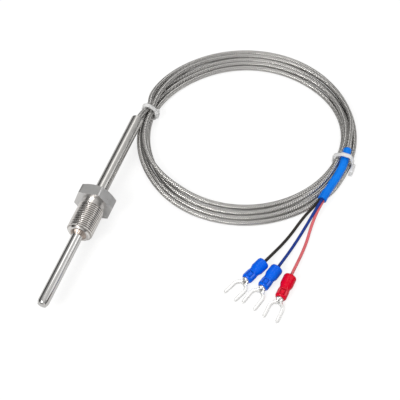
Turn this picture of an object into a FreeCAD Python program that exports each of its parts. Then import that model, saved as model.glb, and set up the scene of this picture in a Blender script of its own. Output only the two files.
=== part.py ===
import FreeCAD, Part
import math
import os
import Sketcher
from FreeCAD import Placement, Rotation, Vector

# Threaded thermocouple probe with a coiled, braided cable and three fork terminals.
# Millimetres. Z is up and the table is z = 0. The probe lies along Y: its tip points
# to -Y and its cable leaves towards +Y.

os.makedirs("parts", exist_ok=True)
doc = FreeCAD.newDocument("probe")

SIZES = {
    # stainless sensing sheath
    "sheath_radius": "2.5",
    "sheath_wall": "0.5",
    "sheath_shown": "38.15",
    "sheath_bore": "=sheath_radius - sheath_wall",
    "dome_radius": "2.35",
    # M12 x 1 fitting with its hexagon
    "thread_radius": "6",
    "thread_shown": "14.85",
    "thread_lead_in": "1.2",
    "relief_width": "1.5",
    "relief_radius": "5.3",
    "hex_flats": "17",
    "hex_thick": "5.75",
    "hex_roll": "9.5",
    "hex_corner": "=hex_flats / sqrt(3)",
    "hex_face_radius": "8.4",
    "front_bevel": "0.3",
    "back_bevel": "0.75",
    # upper tube
    "tube_radius": "3",
    "tube_wall": "0.6",
    "tube_shown": "50.25",
    "tube_bore": "=tube_radius - tube_wall",
    "tube_seat": "2.5",
    # stations along the probe
    "whole": "=sheath_shown + thread_shown + relief_width + hex_thick + tube_shown",
    "tip_end": "=-whole / 2",
    "shank_end": "=tip_end + sheath_shown",
    "thread_start": "=shank_end + thread_lead_in",
    "thread_end": "=shank_end + thread_shown",
    "hex_front": "=thread_end + relief_width",
    "hex_front_bevel": "=hex_front + front_bevel",
    "hex_back": "=hex_front + hex_thick",
    "hex_back_bevel": "=hex_back - back_bevel",
    "seat": "=hex_back - tube_seat",
    "tube_end": "=hex_back + tube_shown",
    "tip_inside": "=tip_end + sheath_wall",
    "thread_nose": "=thread_radius - thread_lead_in",
    "weld_radius": "3.8",
    "weld_length": "1.5",
    "weld_front": "=shank_end - weld_length",
    # what lies inside the probe
    "element_radius": "1.2",
    "element_length": "8",
    "element_front": "=tip_inside + 1.2",
    "element_back": "=element_front + element_length",
    "insulator_radius": "1.7",
    "insulator_back": "=tube_end - 10",
    "core_radius": "0.25",
    "core_bore": "0.3",
    "core_circle": "0.85",
    "seal_depth": "3.7",
    "seal_front": "=tube_end - seal_depth",
    # cable, sleeve and leads
    "cable_radius": "1.35",
    "lead_radius": "0.7",
    "shrink_radius": "2.2",
    "shrink_bore": "1.6",
    # fork terminals, along their own X
    "grip_length": "11.5",
    "grip_mouth": "2.9",
    "grip_nose": "2.55",
    "grip_waist": "2.35",
    "grip_mouth_bore": "2.1",
    "mouth_end": "4.5",
    "waist_at": "6.2",
    "nose_start": "8",
    "barrel_start": "5.8",
    "barrel_radius": "1.7",
    "barrel_bore": "0.6",
    "fork_thick": "0.8",
    "fork_length": "22.1",
    "fork_width": "7.4",
    "fork_slot": "4.4",
    "slot_left": "=fork_slot / 2",
    "slot_right": "=-slot_left",
    "past_fork": "=fork_length + fork_width",
    "fork_left": "=fork_width / 2",
    "fork_right": "=-fork_left",
    "neck_left": "1.7",
    "neck_right": "=-neck_left",
    "barrel_end": "=grip_length + 0.6",
    "slot_root": "1.7",
    "slot_centre": "=barrel_end + slot_root + fork_slot / 2",
    "lead_end": "=barrel_start - 0.3",
}

sheet = doc.addObject("Spreadsheet::Sheet", "Sizes")
for row, (alias, value) in enumerate(SIZES.items(), 1):
    sheet.set("A%d" % row, alias)
    sheet.set("B%d" % row, value)
    sheet.setAlias("B%d" % row, alias)
doc.recompute()


def size(alias):
    """A length of the sheet as a number."""
    return float(sheet.get(alias))


def resting_height():
    """Height of the probe's axis when the hexagon lies on its lowest corner."""
    corners = [math.radians(size("hex_roll") + 60 * k) for k in range(6)]
    return size("hex_corner") * max(-math.sin(corner) for corner in corners)


AXIS_HEIGHT = resting_height()
ON_TABLE = Placement(Vector(0, 0, AXIS_HEIGHT), Rotation())
nodes = []


def keep(node, label):
    """Name a sub-part, which is written to a file of the same name."""
    node.Label = label
    nodes.append(node)
    return node


def plane(body, role):
    return next(item for item in body.Origin.OriginFeatures if item.Role == role)


def body_with_sketch(label, role, placement=ON_TABLE):
    body = doc.addObject("PartDesign::Body", label + "_body")
    body.Placement = placement
    sketch = add_sketch(body, role)
    return body, sketch


def add_sketch(body, role, offset=None):
    sketch = body.newObject("Sketcher::SketchObject", "outline")
    sketch.AttachmentSupport = [(plane(body, role), "")]
    sketch.MapMode = "FlatFace"
    if offset:
        sketch.setExpression("AttachmentOffset.Base.z", offset)
    return sketch


def hold(sketch, geometry, end, axis, alias):
    """Hold one coordinate of a point at a length of the sheet, or on the axis for None."""
    if alias is None:
        line = -2 if axis == "DistanceX" else -1
        sketch.addConstraint(Sketcher.Constraint("PointOnObject", geometry, end, line))
        return
    index = sketch.addConstraint(Sketcher.Constraint(axis, -1, 1, geometry, end, size(alias)))
    sketch.setExpression("Constraints[%d]" % index, "Sizes." + alias)


def draw_outline(sketch, corners):
    """Closed outline of straight sides. Each corner is two aliases of the sheet."""
    at = [Vector(*(size(name) if name else 0.0 for name in corner), 0) for corner in corners]
    lines = [sketch.addGeometry(Part.LineSegment(a, b)) for a, b in zip(at, at[1:] + at[:1])]
    for line, after in zip(lines, lines[1:] + lines[:1]):
        sketch.addConstraint(Sketcher.Constraint("Coincident", line, 2, after, 1))
    for line, (x, y) in zip(lines, corners):
        hold(sketch, line, 1, "DistanceX", x)
        hold(sketch, line, 1, "DistanceY", y)


def turned(label, corners, placement=ON_TABLE, axis="V_Axis"):
    """A turned piece: its half section is drawn beside the axis."""
    body, sketch = body_with_sketch(label, "XY_Plane", placement)
    draw_outline(sketch, corners)
    turn = body.newObject("PartDesign::Revolution", "turn")
    turn.Profile = sketch
    turn.ReferenceAxis = (sketch, [axis])
    turn.Angle = 360
    doc.recompute()
    return body


def ring_shape(inner, outer, front, back):
    return [(inner, front), (outer, front), (outer, back), (inner, back)]


def sensing_sheath():
    body = turned("sensing_sheath", [
        (None, "tip_end"), ("sheath_radius", "tip_end"), ("sheath_radius", "seat"),
        ("sheath_bore", "seat"), ("sheath_bore", "tip_inside"), (None, "tip_inside")])
    turn = body.Tip
    rim = rims_at(turn.Shape, size("sheath_radius"), size("tip_end"))
    dome = body.newObject("PartDesign::Fillet", "dome")
    dome.Base = (turn, rim)
    dome.setExpression("Radius", "Sizes.dome_radius")
    doc.recompute()
    return keep(body, "sensing_sheath")


def rims_at(shape, radius, station):
    """Names of the round edges of one radius at one station along the probe."""
    names = []
    for number, edge in enumerate(shape.Edges, 1):
        curve = edge.Curve
        if curve.TypeId == "Part::GeomCircle" and abs(curve.Radius - radius) < 1e-4:
            if abs(curve.Center.y - station) < 1e-4:
                names.append("Edge%d" % number)
    return names


def threaded_fitting():
    roll = Rotation(Vector(0, 1, 0), -size("hex_roll"))
    placement = Placement(Vector(0, 0, AXIS_HEIGHT), roll)
    body = turned("threaded_fitting", [
        ("sheath_radius", "shank_end"), ("thread_nose", "shank_end"),
        ("thread_radius", "thread_start"), ("thread_radius", "thread_end"),
        ("relief_radius", "thread_end"), ("relief_radius", "hex_front"),
        ("hex_face_radius", "hex_front"), ("hex_corner", "hex_front_bevel"),
        ("hex_corner", "hex_back_bevel"), ("hex_face_radius", "hex_back"),
        ("tube_radius", "hex_back"), ("tube_radius", "seat"), ("sheath_radius", "seat")], placement)
    flats = add_sketch(body, "XZ_Plane", "-Sizes.hex_front")
    draw_hexagon(flats)
    ring = flats.addGeometry(Part.Circle(Vector(), Vector(0, 0, 1), size("hex_flats")))
    flats.addConstraint(Sketcher.Constraint("Coincident", ring, 3, -1, 1))
    index = flats.addConstraint(Sketcher.Constraint("Radius", ring, size("hex_flats")))
    flats.setExpression("Constraints[%d]" % index, "Sizes.hex_flats")
    mill = body.newObject("PartDesign::Pocket", "flats")
    mill.Profile = flats
    mill.setExpression("Length", "Sizes.hex_thick")
    doc.recompute()
    body.Tip = mill
    return keep(body, "threaded_fitting")


def draw_hexagon(sketch):
    """Hexagon with a corner on the sketch's X axis."""
    reach = size("hex_corner")
    at = [Vector(reach * math.cos(math.radians(60 * k)), reach * math.sin(math.radians(60 * k)), 0)
          for k in range(6)]
    lines = [sketch.addGeometry(Part.LineSegment(a, b)) for a, b in zip(at, at[1:] + at[:1])]
    guide = sketch.addGeometry(Part.Circle(Vector(), Vector(0, 0, 1), reach), True)
    sketch.addConstraint(Sketcher.Constraint("Coincident", guide, 3, -1, 1))
    for line, after in zip(lines, lines[1:] + lines[:1]):
        sketch.addConstraint(Sketcher.Constraint("Coincident", line, 2, after, 1))
        sketch.addConstraint(Sketcher.Constraint("PointOnObject", line, 1, guide))
    for line in lines[1:]:
        sketch.addConstraint(Sketcher.Constraint("Equal", lines[0], line))
    sketch.addConstraint(Sketcher.Constraint("PointOnObject", lines[0], 1, -1))
    index = sketch.addConstraint(Sketcher.Constraint("Radius", guide, reach))
    sketch.setExpression("Constraints[%d]" % index, "Sizes.hex_corner")


def front_weld():
    return keep(turned("front_weld", [
        ("sheath_radius", "weld_front"), ("weld_radius", "shank_end"), ("sheath_radius", "shank_end")]),
        "front_weld")


def upper_tube():
    return keep(turned("upper_tube", ring_shape("tube_bore", "tube_radius", "seat", "tube_end")),
                "upper_tube")


def sensing_element():
    return keep(turned("sensing_element", [
        (None, "element_front"), ("element_radius", "element_front"),
        ("element_radius", "element_back"), (None, "element_back")]), "sensing_element")


def tip_paste():
    return keep(turned("tip_paste", ring_shape("element_radius", "sheath_bore", "element_front",
                                               "element_back")), "tip_paste")


def core_places():
    """Centres of the three cores in the probe's section."""
    reach = size("core_circle")
    turns = [math.radians(90 + 120 * k) for k in range(3)]
    return [(reach * math.cos(turn), reach * math.sin(turn)) for turn in turns]


def rod_of_circles(label, circles, front, back):
    """A rod along the probe from a sketch of circles (x, y, alias of the radius)."""
    body, sketch = body_with_sketch(label, "XZ_Plane")
    sketch.setExpression("AttachmentOffset.Base.z", "-Sizes." + back)
    for x, y, alias in circles:
        circle = sketch.addGeometry(Part.Circle(Vector(x, y, 0), Vector(0, 0, 1), size(alias)))
        index = sketch.addConstraint(Sketcher.Constraint("Radius", circle, size(alias)))
        sketch.setExpression("Constraints[%d]" % index, "Sizes." + alias)
        if x == 0 and y == 0:
            sketch.addConstraint(Sketcher.Constraint("Coincident", circle, 3, -1, 1))
        else:
            sketch.addConstraint(Sketcher.Constraint("DistanceX", -1, 1, circle, 3, x))
            sketch.addConstraint(Sketcher.Constraint("DistanceY", -1, 1, circle, 3, y))
    pad = body.newObject("PartDesign::Pad", "length")
    pad.Profile = sketch
    pad.setExpression("Length", "Sizes.%s - Sizes.%s" % (back, front))
    doc.recompute()
    return keep(body, label)


def insulator():
    holes = [(x, y, "core_bore") for x, y in core_places()]
    return rod_of_circles("insulator", [(0, 0, "insulator_radius")] + holes,
                          "element_back", "insulator_back")


def cores():
    for number, (x, y) in enumerate(core_places(), 1):
        rod_of_circles("core_%d" % number, [(x, y, "core_radius")], "element_back", "seal_front")


def cable_seal():
    return keep(turned("cable_seal", ring_shape("cable_radius", "tube_bore", "seal_front",
                                                "tube_end")), "cable_seal")


def solid_node(label, shape):
    """A sub-part made by shape functions, for swept and lofted pieces."""
    node = doc.addObject("Part::Feature", label)
    node.Shape = shape
    return keep(node, label)


# A cord's stretch is straight runs joined by tangent arcs.

def run_and_arc_wire(label, points):
    """Wire of straight runs with an arc at every inner point."""
    edges = []
    start = points[0]
    radii = []
    for before, corner, after in zip(points, points[1:], points[2:]):
        back = (before - corner).normalize()
        ahead = (after - corner).normalize()
        turn = math.pi - back.getAngle(ahead)
        shorter = min((before - corner).Length, (after - corner).Length)
        setback = 0.45 * shorter
        radius = setback / math.tan(turn / 2)
        enter = corner + back * setback
        leave = corner + ahead * setback
        middle_way = (back + ahead).normalize()
        centre = corner + middle_way * (radius / math.cos(turn / 2))
        middle = centre - middle_way * radius
        edges.append(Part.LineSegment(start, enter).toShape())
        edges.append(Part.Arc(enter, middle, leave).toShape())
        start = leave
        radii.append(round(radius, 1))
    edges.append(Part.LineSegment(start, points[-1]).toShape())
    wire = Part.Wire(edges)
    print(label, "length", round(wire.Length, 1), "radii", radii)
    return wire


def swept(label, points, radius):
    """Round tube along a route, checked against its section and length."""
    wire = run_and_arc_wire(label, points)
    start = points[0]
    facing = (points[1] - points[0]).normalize()
    section = Part.Wire(Part.Circle(start, facing, radius).toShape())
    tube = wire.makePipeShell([section], True, True)
    expected = math.pi * radius ** 2 * wire.Length
    if abs(tube.Volume / expected - 1) > 0.02:
        raise ValueError(label + " has a wrong volume")
    return tube


# The coil lies beside the probe. Its outline is given by the bundle's inner and outer
# radius and its underside and top at stations around the coil.

COIL_CENTRE = Vector(51.7, 70.15, 0)
COIL_TURN = 1.07
COIL_ANGLES = [9, 22, 47, 72, 96, 120, 143, 164, 184, 190.5, 198,
               212, 231, 252, 272, 291, 310, 331, 348, 360]
COIL_OUTLINES = [
    (47.0, 54.6, 0.4, 5.1), (48.0, 55.2, 0, 4.3), (47.7, 57.4, 0, 3.2), (46.5, 59.6, 0, 2.9),
    (45.7, 60.8, 0, 2.8), (44.6, 59.4, 0, 3.2), (43.6, 56.6, 0, 4.4), (45.2, 54.4, 0.2, 6.6),
    (47.1, 52.2, 1.1, 7.3), (47.4, 53.8, 0.5, 5.9), (47.5, 53.9, 0.1, 5.7),
    (48.2, 54.8, 0, 5.4), (48.0, 56.7, 0, 4.2), (46.5, 57.8, 0, 3.0), (45.2, 56.9, 0, 2.8),
    (44.3, 56.3, 0, 2.8), (43.7, 54.9, 0, 3.0), (44.3, 54.2, 0, 3.6), (45.8, 54.1, 1.1, 5.0),
    (46.4, 54.3, 1.1, 5.1)]
CORNER_CUT = 0.8
COIL_SECTIONS = 45


def on_coil(angle, radius, height):
    turn = math.radians(angle + COIL_TURN)
    return COIL_CENTRE + Vector(radius * math.cos(turn), radius * math.sin(turn), height)


def coil_station(angle):
    """Inner and outer radius, underside and top of the coil at any angle."""
    angles = [COIL_ANGLES[-1] - 360] + COIL_ANGLES
    outlines = COIL_OUTLINES[-1:] + COIL_OUTLINES
    after = next(k for k, station in enumerate(angles) if station >= angle and k > 0)
    part = (angle - angles[after - 1]) / (angles[after] - angles[after - 1])
    eased = (1 - math.cos(math.pi * part)) / 2
    return [a + (b - a) * eased for a, b in zip(outlines[after - 1], outlines[after])]


def coil_section(angle):
    """Outline of the bundle across the coil, with its corners cut."""
    inner, outer, low, high = coil_station(angle)
    cut = CORNER_CUT
    corners = [(inner + cut, low), (outer - cut, low), (outer, low + cut), (outer, high - cut),
               (outer - cut, high), (inner + cut, high), (inner, high - cut), (inner, low + cut)]
    at = [on_coil(angle, radius, height) for radius, height in corners]
    return Part.makePolygon(at + at[:1])


def cable_coil(groove):
    sections = [coil_section(360 * k / COIL_SECTIONS) for k in range(COIL_SECTIONS)]
    ring = Part.makeLoft(sections, True, True, True)
    return solid_node("cable_coil", ring.cut(groove))


# The cable leaves the tube's end and joins the coil under the left tie.

CABLE_ROUTE = [(0, -3.7, 0), (0, 3.2, 0), (1.8, 13.0, -3.1)]


def cable_free_run(coil):
    """Cable from inside the tube's end to the coil. The route starts at the tube's end."""
    end = Vector(0, size("tube_end"), AXIS_HEIGHT)
    route = [end + Vector(*point) for point in CABLE_ROUTE]
    return solid_node("cable_free_run", largest(swept("cable_free_run", route, size("cable_radius")).cut(coil)))


def largest(shape):
    return max(shape.Solids, key=lambda solid: solid.Volume)


# The heat-shrink sleeve lies in a groove on the coil. It covers the cable's end and
# the start of the three leads.

SHRINK_ROUTE = [on_coil(2.7, 50.7, 5.6), on_coil(352.5, 51.2, 5.6), on_coil(338.5, 52.1, 5.0),
                on_coil(324.8, 55.2, 4.6)]
LEADS_COVERED = 7
GROOVE_CLEARANCE = 0.1


def shrink_sleeve():
    tube = swept("shrink_sleeve", SHRINK_ROUTE, size("shrink_radius"))
    return solid_node("shrink_sleeve", tube.cut(swept("shrink_bore", SHRINK_ROUTE, size("shrink_bore"))))


def cable_covered_end():
    before, mouth = SHRINK_ROUTE[-2:]
    end = mouth - (mouth - before).normalize() * LEADS_COVERED
    route = SHRINK_ROUTE[:-1] + [end]
    return solid_node("cable_covered_end", swept("cable_covered_end", route, size("cable_radius")))


# Nylon ties. Each band follows the bundle's outline, given as radius and height.

TIE_WIDTH = 2.0
TIE_THICK = 1.0
LEFT_TIE = (184, [(46.9, 1.0), (52.5, 1.0), (52.5, 7.2), (51.9, 8.8), (49.6, 8.8), (46.9, 6.8)])
LEFT_HEAD = ((-1.6, 1.6), (44.8, 46.6), (2.4, 6.2))
RIGHT_TIE = (354, [(45.8, 1.0), (54.5, 1.0), (54.5, 5.2), (53.0, 8.0), (49.5, 8.0), (45.8, 5.5)])
RIGHT_HEAD = ((-5.0, 0.4), (54.7, 56.5), (0.3, 3.7))


def rounded_ring(angle, corners, rounding):
    """Closed wire through corners (radius, height) with rounded corners."""
    at = [on_coil(angle, radius, height) for radius, height in corners]
    edges = []
    arcs = []
    for before, corner, after in zip(at[-1:] + at[:-1], at, at[1:] + at[:1]):
        back = (before - corner).normalize()
        ahead = (after - corner).normalize()
        turn = math.pi - back.getAngle(ahead)
        setback = rounding * math.tan(turn / 2)
        middle_way = (back + ahead).normalize()
        middle = corner + middle_way * (rounding / math.cos(turn / 2) - rounding)
        arcs.append((corner + back * setback, middle, corner + ahead * setback))
    for arc, after in zip(arcs, arcs[1:] + arcs[:1]):
        edges.append(Part.Arc(*arc).toShape())
        edges.append(Part.LineSegment(arc[2], after[0]).toShape())
    return Part.Wire(edges)


def cable_tie(label, angle, corners, head_limits):
    """Band round the bundle, with its head. The head's limits are along the cable, in
    radius and in height."""
    inner = rounded_ring(angle, corners, 1.2)
    outer = inner.makeOffset2D(TIE_THICK)
    turn = math.radians(angle + COIL_TURN)
    tangent = Vector(-math.sin(turn), math.cos(turn), 0)
    face = Part.Face(outer).cut(Part.Face(inner)).Faces[0]
    face.translate(tangent * (-TIE_WIDTH / 2))
    band = face.extrude(tangent * TIE_WIDTH)
    (start, end), (near, far), (low, high) = head_limits
    head = Part.makeBox(far - near, end - start, high - low, Vector(near, start, low))
    head_turn = Rotation(Vector(0, 0, 1), angle + COIL_TURN)
    head.Placement = Placement(COIL_CENTRE, head_turn).multiply(head.Placement)
    return solid_node(label, band.fuse(head).removeSplitter())


# Fork terminals, each built along its own X from the mouth of its sleeve.

TERMINALS = [
    ("black", Vector(81.0, -1.75, 0), 244.3),
    ("blue", Vector(87.4, -2.75, 0), 251.6),
    ("red", Vector(94.0, -5.1, 0), 262.1)]


def terminal_placement(mouth, heading):
    """The terminal rests on its sleeve's mouth and nose, so it points a little down."""
    tilt = math.atan((size("grip_mouth") - size("grip_nose")) / (size("grip_length") - size("mouth_end")))
    height = size("grip_mouth") * math.cos(tilt) + size("mouth_end") * math.sin(tilt)
    level = Rotation(Vector(0, 0, 1), heading)
    return Placement(mouth + Vector(0, 0, height), level.multiply(Rotation(Vector(0, 1, 0), math.degrees(tilt))))


def fork_terminal(colour, placement):
    body = turned("fork_terminal_" + colour, [
        ("barrel_start", "barrel_bore"), ("barrel_end", "barrel_bore"),
        ("barrel_end", "barrel_radius"), ("barrel_start", "barrel_radius")], placement, "H_Axis")
    for corners in ([("grip_length", "neck_right"), ("slot_centre", "neck_right"),
                     ("slot_centre", "neck_left"), ("grip_length", "neck_left")],
                    [("slot_centre", "fork_right"), ("fork_length", "fork_right"),
                     ("fork_length", "fork_left"), ("slot_centre", "fork_left")]):
        outline = add_sketch(body, "XY_Plane", "-Sizes.barrel_radius")
        draw_outline(outline, corners)
        sheet_metal(body, outline)
    shoulder = add_sketch(body, "XY_Plane", "-Sizes.barrel_radius")
    draw_circle(shoulder, "slot_centre", "fork_left")
    sheet_metal(body, shoulder)
    round_slot = add_sketch(body, "XY_Plane")
    draw_circle(round_slot, "slot_centre", "slot_left")
    cut_both_ways(body, round_slot)
    open_slot = add_sketch(body, "XY_Plane")
    draw_outline(open_slot, [("slot_centre", "slot_right"), ("past_fork", "slot_right"),
                             ("past_fork", "slot_left"), ("slot_centre", "slot_left")])
    body.Tip = cut_both_ways(body, open_slot)
    return keep(body, "fork_terminal_" + colour)


def draw_circle(sketch, centre, radius):
    """Circle on the sketch's X axis. Its place and radius are aliases of the sheet."""
    middle = Vector(size(centre), 0, 0)
    circle = sketch.addGeometry(Part.Circle(middle, Vector(0, 0, 1), size(radius)))
    hold(sketch, circle, 3, "DistanceX", centre)
    hold(sketch, circle, 3, "DistanceY", None)
    index = sketch.addConstraint(Sketcher.Constraint("Radius", circle, size(radius)))
    sketch.setExpression("Constraints[%d]" % index, "Sizes." + radius)


def sheet_metal(body, sketch):
    """A pad as thick as the fork's sheet."""
    pad = body.newObject("PartDesign::Pad", "tongue")
    pad.Profile = sketch
    pad.setExpression("Length", "Sizes.fork_thick")
    doc.recompute()


def cut_both_ways(body, sketch):
    cut = body.newObject("PartDesign::Pocket", "cut")
    cut.Profile = sketch
    cut.Midplane = True
    cut.setExpression("Length", "4 * Sizes.barrel_radius")
    doc.recompute()
    return cut


def terminal_grip(colour, placement):
    return keep(turned("terminal_grip_" + colour, [
        (None, "grip_mouth_bore"), (None, "grip_mouth"), ("mouth_end", "grip_mouth"),
        ("waist_at", "grip_waist"), ("nose_start", "grip_nose"), ("grip_length", "grip_nose"),
        ("grip_length", "barrel_radius"), ("barrel_start", "barrel_radius"),
        ("mouth_end", "grip_mouth_bore")], placement, "H_Axis"), "terminal_grip_" + colour)


def bare_end(colour, placement):
    return keep(turned("bare_end_" + colour, [
        ("lead_end", None), ("barrel_end", None), ("barrel_end", "barrel_bore"),
        ("lead_end", "barrel_bore")], placement, "H_Axis"), "bare_end_" + colour)


# The leads leave the heat-shrink sleeve side by side, drop to the table and rise into
# the mouths of their terminals. Their points on the table are set one by one.

LEAD_SPREAD = 0.85
PAST_SLEEVE = 4
LEAD_PLACES = {"black": 200, "blue": 80, "red": 320}
LEAD_POINTS = {
    "black": [Vector(93.5, 27.85, 2.2), Vector(88.1, 14.95, 0.75)],
    "blue": [Vector(95.6, 27.25, 2.6), Vector(91.7, 13.85, 0.75)],
    "red": [Vector(97.8, 27.05, 2.2), Vector(96.4, 13.65, 0.75)]}


def lead_route(colour, placement):
    before, mouth = SHRINK_ROUTE[-2:]
    along = (mouth - before).normalize()
    sideways = Vector(0, 0, 1).cross(along).normalize()
    upward = along.cross(sideways)
    turn = math.radians(LEAD_PLACES[colour])
    aside = (sideways * math.cos(turn) + upward * math.sin(turn)) * LEAD_SPREAD
    route = [mouth - along * LEADS_COVERED + aside, mouth + along * PAST_SLEEVE + aside]
    route += LEAD_POINTS[colour]
    route.append(placement.multVec(Vector(-3, 0, 0)))
    route.append(placement.multVec(Vector(size("lead_end"), 0, 0)))
    return route


def lead_wire(colour, placement):
    label = "lead_" + colour
    return solid_node(label, swept(label, lead_route(colour, placement), size("lead_radius")))


sensing_sheath()
threaded_fitting()
front_weld()
upper_tube()
sensing_element()
tip_paste()
insulator()
cores()
cable_seal()
shrink_sleeve()
cable_covered_end()
coil = cable_coil(swept("groove", SHRINK_ROUTE, size("shrink_radius") + GROOVE_CLEARANCE))
cable_free_run(coil.Shape)
cable_tie("cable_tie_left", *LEFT_TIE, LEFT_HEAD)
cable_tie("cable_tie_right", *RIGHT_TIE, RIGHT_HEAD)
for colour, mouth, heading in TERMINALS:
    placement = terminal_placement(mouth, heading)
    fork_terminal(colour, placement)
    terminal_grip(colour, placement)
    bare_end(colour, placement)
    lead_wire(colour, placement)
doc.recompute()

for item in doc.Objects:
    if "Invalid" in item.State or "Error" in item.State:
        raise ValueError(item.Name + " is not right")
for node in nodes:
    shape = node.Shape
    if shape.isNull() or not shape.isValid() or len(shape.Solids) != 1:
        raise ValueError("%s is no good solid: %d solids" % (node.Label, len(shape.Solids)))
    shape.exportStep("parts/%s.step" % node.Label)
    box = shape.BoundBox
    print(node.Label, "volume", round(shape.Volume, 1), "from",
          [round(v, 2) for v in (box.XMin, box.YMin, box.ZMin)], "to",
          [round(v, 2) for v in (box.XMax, box.YMax, box.ZMax)])
print(len(nodes), "sub-parts, axis height", round(AXIS_HEIGHT, 3))
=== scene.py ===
import math
from contextlib import contextmanager

import bmesh
import bpy
import numpy as np
from mathutils import Euler, Matrix, Vector


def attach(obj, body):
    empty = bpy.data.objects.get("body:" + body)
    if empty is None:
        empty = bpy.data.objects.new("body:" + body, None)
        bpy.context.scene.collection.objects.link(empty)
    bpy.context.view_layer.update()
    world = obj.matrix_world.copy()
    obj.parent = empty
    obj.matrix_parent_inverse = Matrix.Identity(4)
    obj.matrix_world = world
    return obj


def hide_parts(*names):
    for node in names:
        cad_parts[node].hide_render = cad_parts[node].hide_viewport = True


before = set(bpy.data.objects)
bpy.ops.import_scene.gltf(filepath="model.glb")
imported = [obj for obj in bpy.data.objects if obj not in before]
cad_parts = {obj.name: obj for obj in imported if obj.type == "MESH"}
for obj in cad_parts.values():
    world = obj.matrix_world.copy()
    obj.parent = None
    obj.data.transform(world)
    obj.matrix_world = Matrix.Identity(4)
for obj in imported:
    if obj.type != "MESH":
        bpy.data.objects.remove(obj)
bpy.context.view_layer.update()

# Lengths are written in millimetres and turned into metres where a mesh or a curve is made.
MM = 0.001
AXIS_HEIGHT = 9.193
ROOT_RADIUS = 5.45
CREST_RADIUS = 5.9
JACKET_PITCH = 0.9
JACKET_SIDES = 4.0


# Camera

camera_data = bpy.data.cameras.new("camera")
camera_data.lens = 72
camera_data.sensor_width = 36
camera_data.clip_start = 0.01
camera = bpy.data.objects.new("camera", camera_data)
camera.location = (0.11427, -0.19042, 0.30037)
camera.rotation_euler = Euler((math.radians(37.0), 0, math.radians(18.40)))
bpy.context.scene.collection.objects.link(camera)
bpy.context.scene.camera = camera


# Material helpers

def set_stops(ramp, stops):
    """Stops (position, colour) of a colour ramp."""
    while len(ramp.elements) < len(stops):
        ramp.elements.new(0.5)
    for element, (at, colour) in zip(ramp.elements, stops):
        element.position = at
        element.color = (*colour, 1)


class Nodes:
    """A node material that is put together line by line."""

    def __init__(self, name):
        self.material = bpy.data.materials.new(name)
        self.material.use_nodes = True
        self.tree = self.material.node_tree
        self.tree.nodes.clear()
        self.shader = self.tree.nodes.new("ShaderNodeBsdfPrincipled")
        self.tree.links.new(self.shader.outputs[0], self.tree.nodes.new("ShaderNodeOutputMaterial").inputs[0])

    def set(self, **values):
        """Values of the shader's own inputs, with _ for a space in their names."""
        for name, value in values.items():
            self.shader.inputs[name.replace("_", " ")].default_value = value

    def node(self, kind, *inputs, **settings):
        made = self.tree.nodes.new(kind)
        for name, value in settings.items():
            setattr(made, name, value)
        for socket, value in zip(made.inputs, inputs):
            if isinstance(value, bpy.types.NodeSocket):
                self.tree.links.new(value, socket)
            else:
                socket.default_value = value
        return made

    def math(self, operation, *inputs):
        return self.node("ShaderNodeMath", *inputs, operation=operation).outputs[0]

    def place(self, kind="Object"):
        return self.node("ShaderNodeTexCoord").outputs[kind]

    def split(self, vector):
        return self.node("ShaderNodeSeparateXYZ", vector).outputs

    def scaled(self, vector, scale):
        return self.node("ShaderNodeMapping", vector, (0, 0, 0), (0, 0, 0), scale).outputs[0]

    def noise(self, vector, scale, detail=3.0, rough=0.5):
        made = self.node("ShaderNodeTexNoise", vector)
        made.inputs["Scale"].default_value = scale
        made.inputs["Detail"].default_value = detail
        made.inputs["Roughness"].default_value = rough
        return made.outputs[0]

    def ramp(self, value, *stops):
        made = self.node("ShaderNodeValToRGB", value)
        set_stops(made.color_ramp, stops)
        return made.outputs[0]

    def spread(self, value, low, high, start=0.0, end=1.0):
        """From low to high while the value goes from start to end."""
        return self.node("ShaderNodeMapRange", value, start, end, low, high).outputs[0]

    def mixed(self, part, first, second):
        return self.node("ShaderNodeMixRGB", part, first, second).outputs[0]

    def drive(self, name, value):
        self.tree.links.new(value, self.shader.inputs[name])

    def bump(self, height, strength, distance):
        made = self.node("ShaderNodeBump")
        made.inputs["Strength"].default_value = strength
        made.inputs["Distance"].default_value = distance
        self.tree.links.new(height, made.inputs["Height"])
        self.drive("Normal", made.outputs[0])


def steel(name, low, high, rough_low, rough_high, turned, lines):
    """Machined metal. turned is the scale of the tool marks along each axis, and lines their depth."""
    made = Nodes(name)
    made.set(Metallic=1.0)
    where = made.place()
    marks = made.noise(made.scaled(where, turned), 1.0, 4.0, 0.65)
    cloud = made.noise(where, 260.0, 3.0)
    tone = made.math("ADD", made.math("MULTIPLY", marks, 0.6), made.math("MULTIPLY", cloud, 0.4))
    made.drive("Base Color", made.ramp(tone, (0.3, low), (0.7, high)))
    made.drive("Roughness", made.spread(tone, rough_low, rough_high, 0.3, 0.7))
    made.bump(marks, lines, 0.00002)
    return made.material


def threaded_steel(name, root, low, high, rough_low, rough_high, turned):
    """Machined steel whose thread roots are painted darker than its crests, as painted shade in the thread's
    hollows.
    """
    made = Nodes(name)
    made.set(Metallic=1.0)
    where = made.place()
    across, along, height = made.split(where)
    marks = made.noise(made.scaled(where, turned), 1.0, 4.0, 0.65)
    upward = made.math("SUBTRACT", height, AXIS_HEIGHT * MM)
    reach = made.math("SQRT", made.math("ADD", made.math("MULTIPLY", across, across),
                                        made.math("MULTIPLY", upward, upward)))
    crest = made.spread(reach, 0.0, 1.0, ROOT_RADIUS * MM, CREST_RADIUS * MM)
    on_thread = made.math("MULTIPLY", made.spread(along, 0.0, 1.0, -16.8 * MM, -16.4 * MM),
                          made.spread(along, 1.0, 0.0, -2.6 * MM, -2.3 * MM))
    # Painted shade: the root colour darkens the thread's hollows along the threaded length.
    shade = made.math("MULTIPLY", on_thread, made.math("SUBTRACT", 1.0, crest))
    metal = made.ramp(marks, (0.3, low), (0.7, high))
    made.drive("Base Color", made.mixed(shade, metal, (*root, 1)))
    made.drive("Roughness", made.spread(marks, rough_low, rough_high, 0.3, 0.7))
    return made.material


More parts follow.
